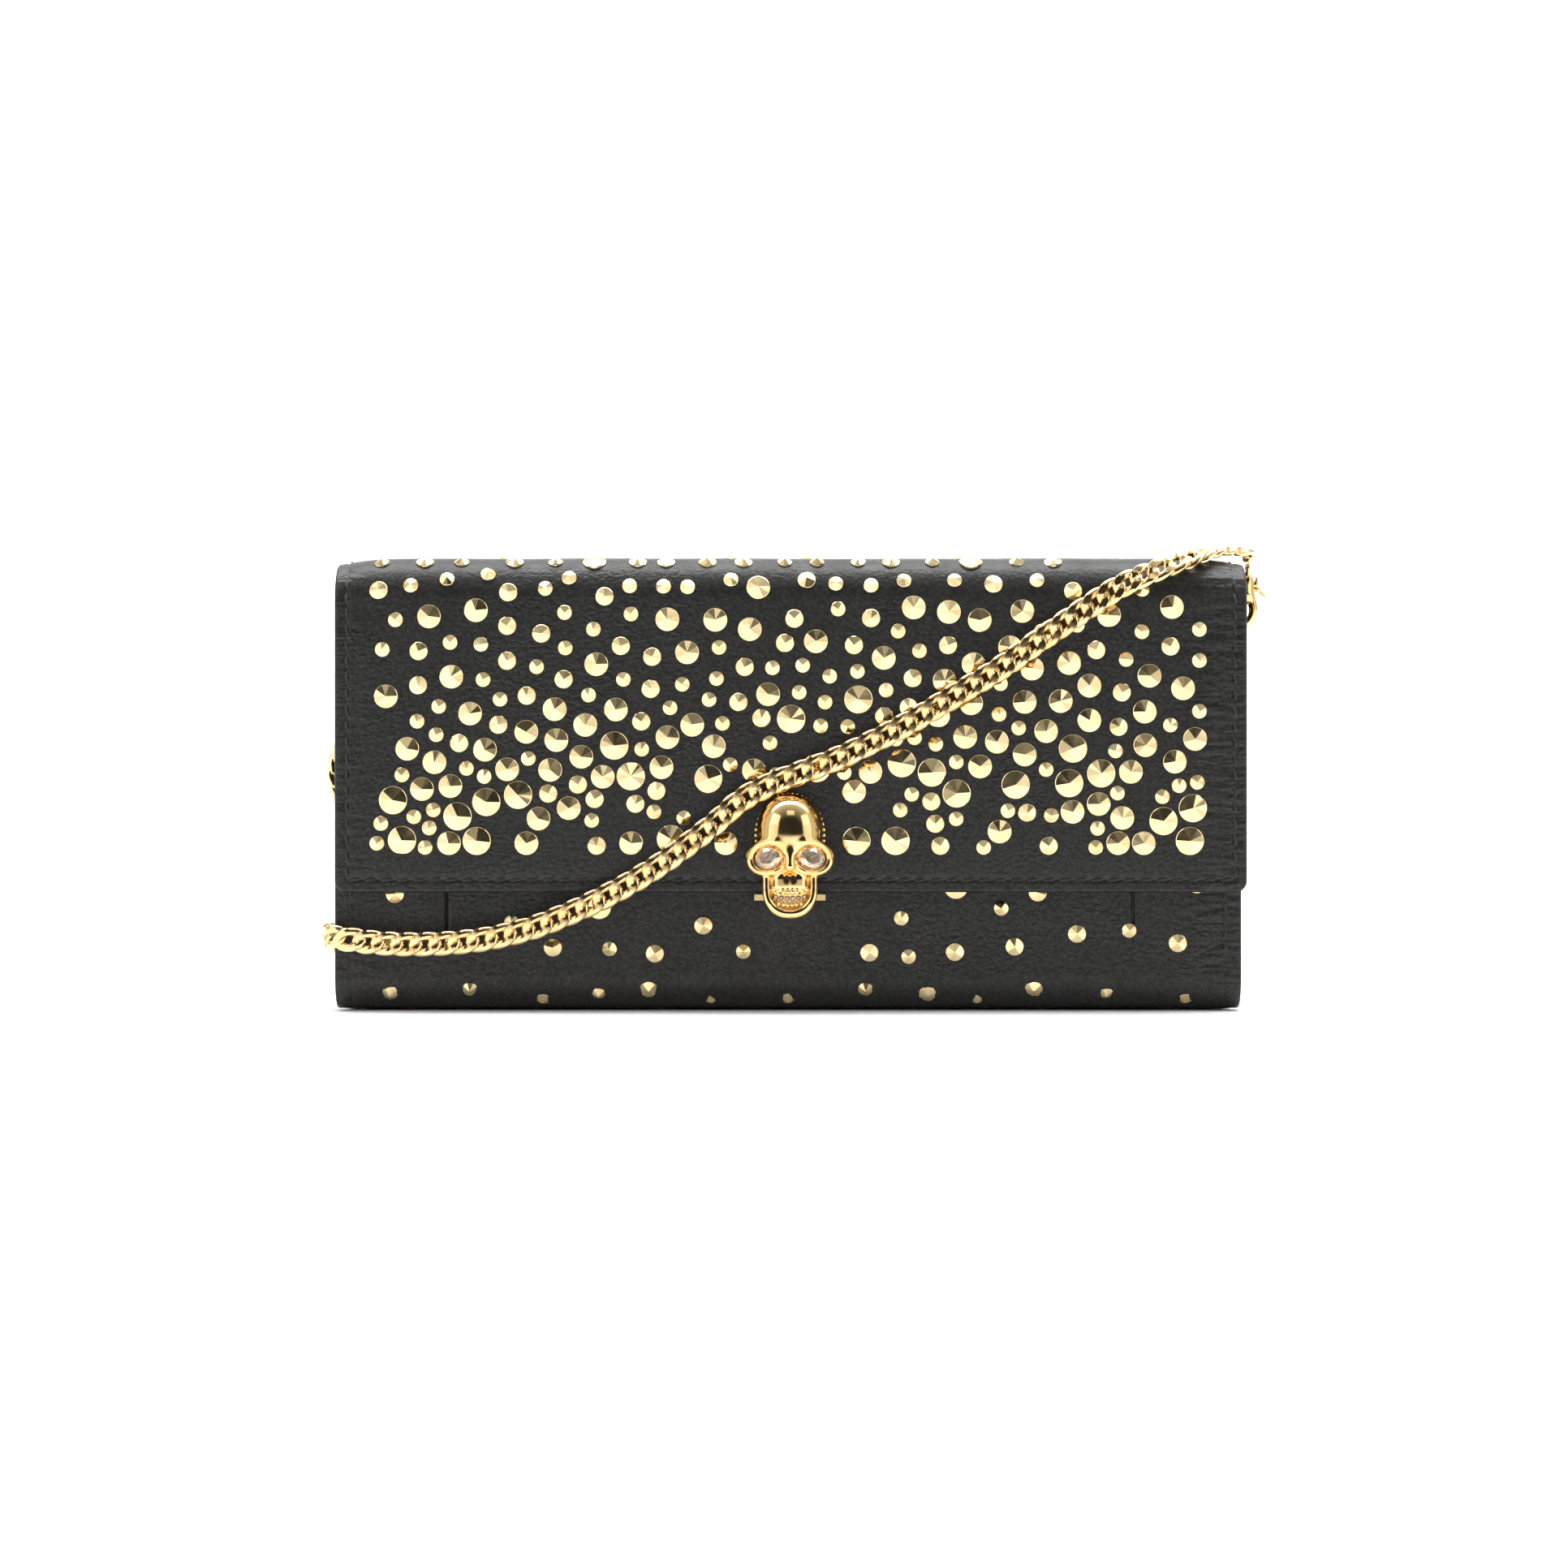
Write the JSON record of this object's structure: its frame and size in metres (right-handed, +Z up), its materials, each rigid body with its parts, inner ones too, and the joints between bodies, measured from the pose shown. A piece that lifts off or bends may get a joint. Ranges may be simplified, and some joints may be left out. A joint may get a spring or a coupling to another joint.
{
  "type": "chain wallet",
  "caption": "Studded black leather flap wallet with a skull press lock, an accordion inside with zip pocket and card slots, and a detachable gold curb chain.",
  "frame": {"origin": "middle of the base, on the table plane, under the tip of the middle foot stud", "axes": "+X to the right along the wallet width, -Y out of the front flap, +Z up"},
  "size_m": [0.2105, 0.0909, 0.1032],
  "materials": {
    "leather": "fine-grained black calf leather, satin",
    "lining": "smooth black lining leather",
    "board": "grey-brown stiffening board",
    "stud_gold": "pale gold plated, bright facets",
    "polished_gold": "polished yellow gold plating",
    "chain_gold": "polished yellow gold plating, with wear in the links",
    "steel": "plain zinc plated steel",
    "zip_tape": "black woven zip tape",
    "crystal": "faceted pale champagne stones"
  },
  "bodies": {
    "root": {"back_panel": "leather", "back_lining": "lining", "bottom_panel": "leather", "card_leaves_back": "lining", "coin_pocket_back": "lining", "coin_pocket_front": "lining", "coin_pocket_base": "lining", "coin_pocket_ends": "leather", "zip_tapes": "zip_tape", "zip_teeth": "polished_gold", "zip_stops": "polished_gold", "gussets_back": "leather", "gussets_front": "leather", "ring_tabs": "leather", "ring_rivets": "polished_gold", "studs_back": "stud_gold", "studs_base": "stud_gold", "studs_roll": "stud_gold", "chain_wrap": "chain_gold", "chain_coil": "chain_gold", "chain_tail": "chain_gold"},
    "zip_slider": {"zip_slider": "polished_gold"},
    "zip_pull": {"zip_pull": "polished_gold"},
    "front": {"front_panel": "leather", "front_board": "board", "front_lining": "lining", "card_leaves_front": "lining", "catch_plate": "polished_gold", "catch_post": "polished_gold", "catch_backplate": "steel", "studs_front": "stud_gold"},
    "flap_spine": {"spine_leather": "leather", "spine_lining": "lining", "studs_spine": "stud_gold"},
    "flap_front": {"flap_leather": "leather", "flap_board": "board", "flap_lining": "lining", "studs_extra_large": "stud_gold", "studs_large": "stud_gold", "studs_medium": "stud_gold", "studs_small": "stud_gold", "skull_head": "polished_gold", "eye_stones": "crystal", "tooth_stones": "crystal", "lock_case": "steel", "lock_backplate": "steel", "lock_screws": "steel", "latch_springs": "steel"},
    "tab_left": {"release_tab_left": "polished_gold"},
    "tab_right": {"release_tab_right": "polished_gold"},
    "ring_right": {"d_ring_right": "polished_gold"},
    "clasp_right": {"clasp_right": "polished_gold"},
    "trigger_right": {"clasp_trigger_right": "polished_gold"},
    "swivel_right": {"clasp_swivel_right": "polished_gold"},
    "ring_left": {"d_ring_left": "polished_gold"},
    "clasp_left": {"clasp_left": "polished_gold"},
    "trigger_left": {"clasp_trigger_left": "polished_gold"},
    "swivel_left": {"clasp_swivel_left": "polished_gold"},
    "chain_front": {"chain_run": "chain_gold"}
  },
  "joints": [
    {"name": "flap_open", "type": "hinge", "parent": "root", "child": "flap_spine", "pos_m": [0, 0.0149, 0.091], "axis": [-1, 0, 0], "range_deg": [0, 150]},
    {"name": "flap_fold", "type": "hinge", "parent": "flap_spine", "child": "flap_front", "pos_m": [0, -0.006, 0.0994], "axis": [-1, 0, 0], "range_deg": [0, 105]},
    {"name": "front_tilt", "type": "hinge", "parent": "root", "child": "front", "pos_m": [0, -0.0107, 0.0093], "axis": [1, 0, 0], "range_deg": [0, 12], "deforming": ["gussets_front", "chain_wrap"]},
    {"name": "chain_drop", "type": "hinge", "parent": "root", "child": "chain_front", "pos_m": [-0.0965, -0.0166, 0.016], "axis": [0, 0.9539, -0.3], "range_deg": [0, 21], "deforming": ["chain_run"]},
    {"name": "tab_left_press", "type": "slide", "parent": "flap_front", "child": "tab_left", "axis": [1, 0, 0], "range_m": [0, 0.001], "stiffness_N_per_m": 250, "deforming": ["latch_springs"]},
    {"name": "tab_right_press", "type": "slide", "parent": "flap_front", "child": "tab_right", "axis": [-1, 0, 0], "range_m": [0, 0.001], "stiffness_N_per_m": 250},
    {"name": "zip_slide", "type": "slide", "parent": "root", "child": "zip_slider", "axis": [-1, 0, 0], "range_m": [0, 0.14], "deforming": ["zip_teeth"]},
    {"name": "zip_pull_turn", "type": "hinge", "parent": "zip_slider", "child": "zip_pull", "pos_m": [0.072, 0.0004, 0.0792], "axis": [0, 1, 0], "range_deg": [0, 180]},
    {"name": "ring_right_swing", "type": "hinge", "parent": "root", "child": "ring_right", "pos_m": [0.0928, 0.0004, 0.0866], "axis": [0, 1, 0], "range_deg": [0, 60]},
    {"name": "clasp_right_swing", "type": "hinge", "parent": "ring_right", "child": "clasp_right", "pos_m": [0.0998, 0.0004, 0.0866], "axis": [0, 1, 0], "range_deg": [0, 40]},
    {"name": "trigger_right_press", "type": "hinge", "parent": "clasp_right", "child": "trigger_right", "pos_m": [0.1011, 0.0004, 0.0942], "axis": [0, -1, 0], "range_deg": [0, 12], "stiffness_Nm_per_rad": 0.02},
    {"name": "swivel_right_turn", "type": "hinge", "parent": "clasp_right", "child": "swivel_right", "pos_m": [0.1026, 0.0004, 0.0983], "axis": [0, 0, 1], "range_deg": [-90, 90]},
    {"name": "ring_left_swing", "type": "hinge", "parent": "root", "child": "ring_left", "pos_m": [-0.0928, 0.0004, 0.0866], "axis": [0, 1, 0], "range_deg": [0, 60], "deforming": ["chain_tail"]},
    {"name": "clasp_left_swing", "type": "hinge", "parent": "ring_left", "child": "clasp_left", "pos_m": [-0.09402, 0.0004, 0.07971], "axis": [0, 1, 0], "range_deg": [0, 40]},
    {"name": "trigger_left_press", "type": "hinge", "parent": "clasp_left", "child": "trigger_left", "pos_m": [-0.09532, 0.0004, 0.07211], "axis": [0, -1, 0], "range_deg": [0, 12], "stiffness_Nm_per_rad": 0.02},
    {"name": "swivel_left_turn", "type": "hinge", "parent": "clasp_left", "child": "swivel_left", "pos_m": [-0.09682, 0.0004, 0.06801], "axis": [0, 0, 1], "range_deg": [-90, 90]}
  ],
  "couplings": [
    {"joint": "flap_fold", "follows": "flap_open", "ratio": 0.7},
    {"joint": "front_tilt", "follows": "flap_open", "ratio": 0.08},
    {"joint": "chain_drop", "follows": "flap_open", "ratio": 0.14}
  ]
}
